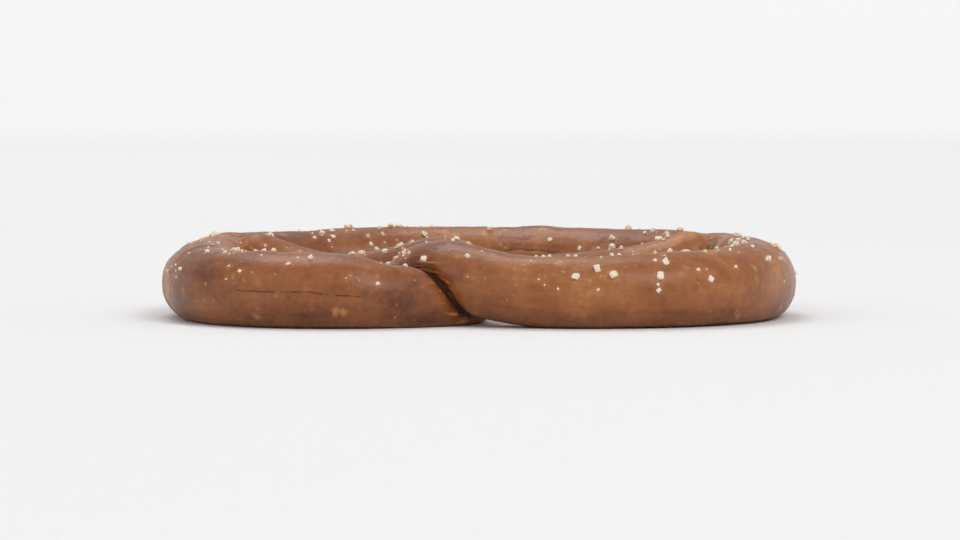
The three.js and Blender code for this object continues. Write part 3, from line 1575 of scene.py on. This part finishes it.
@dataclass(frozen=True)
class SoftLight:
    """A square soft light aimed at the pretzel: its place and side in metres, and its power in watts."""

    name: str
    spot: Triple
    side: float
    power: float

    def hang(self) -> None:
        """Puts the light into the scene, unseen by the camera."""
        lamp = bpy.data.lights.new(self.name, "AREA")
        lamp.size = self.side
        lamp.energy = self.power
        holder = bpy.data.objects.new(self.name, lamp)
        bpy.context.scene.collection.objects.link(holder)
        holder.location = self.spot
        holder.rotation_euler = Vector(self.spot).to_track_quat("Z", "Y").to_euler()
        holder.visible_camera = False


@dataclass
class Studio:
    """The white sweep, the soft lights and the camera."""

    paper: StudioPaper = field(default_factory=StudioPaper)
    floor_radii: tuple[float, ...] = (300.0, 900.0)
    flat_radius: float = 2200.0
    bend_radius: float = 600.0
    bend_rings: int = 17
    wall_height: float = 700.0
    around: int = 96
    air: Colour = (1.0, 1.0, 1.0)
    air_strength: float = 0.52
    lights: tuple[SoftLight, ...] = (
        SoftLight("key_light", (0.9, -1.0, 1.5), 1.0, 13.0),
        SoftLight("fill_light", (-1.2, -0.9, 0.9), 1.2, 3.0),
        SoftLight("top_light", (-0.3, 0.7, 1.5), 0.9, 8.0),
    )
    lens: float = 150.0
    nearest: float = 10.0
    elevation: float = 3.0
    distance: float = 690.0
    aim_height: float = 7.5

    def sweep(self) -> bpy.types.Object:
        """Builds the floor and wall as one profile carried round the upright axis.

        The profile is a level line, a quarter circle and an upright line, as pairs of radius and height.

        Returns:
            The sweep.
        """
        quarter = np.linspace(0.0, math.pi / 2, self.bend_rings)
        bend = self.flat_radius + self.bend_radius * np.sin(quarter)
        rise = self.bend_radius * (1.0 - np.cos(quarter))
        radius = np.concatenate([self.floor_radii, bend, bend[-1:]])
        height = np.concatenate([np.zeros(len(self.floor_radii)), rise, [self.wall_height]])
        turn = np.arange(self.around) * (2.0 * math.pi / self.around)
        across = radius[:, None]
        rings = np.broadcast_arrays(across * np.cos(turn), across * np.sin(turn), height[:, None])
        points = np.vstack([np.stack(rings, -1).reshape(-1, 3), np.zeros(3)])
        step = np.arange(self.around)
        hub = fan(step, (step + 1) % self.around, len(points) - 1)
        mesh = make_mesh("studio_sweep", points, tube_walls(len(radius), self.around) + hub)
        mesh.shade_smooth()
        mesh.materials.append(self.paper.material())
        floor = place("studio_sweep", mesh)
        return floor

    def fill_air(self) -> None:
        """Lights the whole studio a little from all round."""
        world = bpy.data.worlds.new("studio_air")
        world.use_nodes = True
        sky = world.node_tree.nodes["Background"]
        sky.inputs["Color"].default_value = (*self.air, 1.0)
        sky.inputs["Strength"].default_value = self.air_strength
        bpy.context.scene.world = world

    def set_camera(self) -> None:
        """Puts the camera in front of the pretzel, a little above level, and makes it the scene's."""
        camera = bpy.data.cameras.new("camera")
        camera.lens = self.lens
        camera.clip_start = self.nearest * MM
        holder = bpy.data.objects.new("camera", camera)
        bpy.context.scene.collection.objects.link(holder)
        tilt = math.radians(self.elevation)
        reach = self.distance * MM
        holder.location = (0.0, -reach * math.cos(tilt), self.aim_height * MM + reach * math.sin(tilt))
        holder.rotation_euler = (math.pi / 2 - tilt, 0.0, 0.0)
        bpy.context.scene.camera = holder

    def build(self) -> bpy.types.Object:
        """Builds the studio.

        Returns:
            Its sweep.
        """
        floor = self.sweep()
        self.fill_air()
        for light in self.lights:
            light.hang()
        self.set_camera()
        bpy.context.scene.view_settings.view_transform = "Standard"
        return floor


def main() -> None:
    """Builds the pretzel piece by piece, then the studio."""
    logging.basicConfig(level=logging.INFO, format="%(message)s")
    crust = Dough().build()
    report(crust)
    grains = Salt().build(crust)
    report(grains)
    floor = Studio().build()
    report(floor)


if __name__ == "__main__":
    main()
